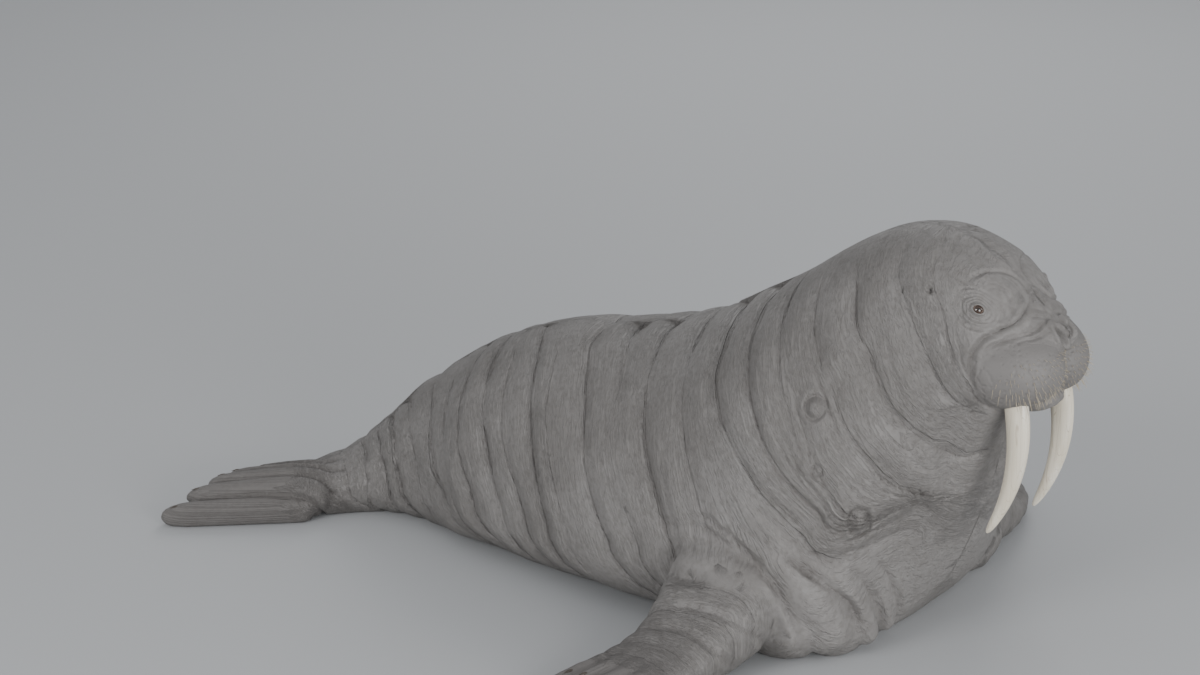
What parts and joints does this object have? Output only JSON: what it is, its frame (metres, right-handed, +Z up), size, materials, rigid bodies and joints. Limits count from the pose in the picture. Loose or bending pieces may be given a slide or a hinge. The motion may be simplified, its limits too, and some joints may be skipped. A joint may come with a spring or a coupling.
{
  "type": "life-size adult male walrus figure",
  "caption": "Life-size still model of an adult male walrus lying on its belly, head raised over long tusks, foreflippers spread and hind flippers trailing.",
  "frame": {"origin": "middle of the bounding box, on the floor the animal lies on", "axes": "+X towards the head along the trunk, +Y to the animal's left, +Z up"},
  "size_m": [3.3392, 2.6638, 1.3758],
  "materials": {
    "hide": "thick wrinkled grey-brown hide, matt on the folds",
    "muzzle": "finely creased skin with whisker pits",
    "flipper_skin": "bare rough skin, darker between the digits",
    "ivory": "polished ivory with fine lengthwise cracks",
    "eye": "wet dark brown eye",
    "whisker": "short stiff straw-coloured bristles",
    "claw": "dark horn"
  },
  "bodies": {
    "root": {"head": "hide", "neck": "hide", "chest": "hide", "abdomen": "hide", "hindquarters": "hide", "tail": "hide", "lower_jaw": "muzzle", "muzzle_pad_left": "muzzle", "muzzle_pad_right": "muzzle", "foreflipper_arm_left": "hide", "foreflipper_arm_right": "hide", "foreflipper_hand_left": "flipper_skin", "foreflipper_hand_right": "flipper_skin", "hind_flipper_left": "flipper_skin", "hind_flipper_right": "flipper_skin", "tusk_left": "ivory", "tusk_right": "ivory", "eye_left": "eye", "eye_right": "eye"}
  },
  "joints": []
}
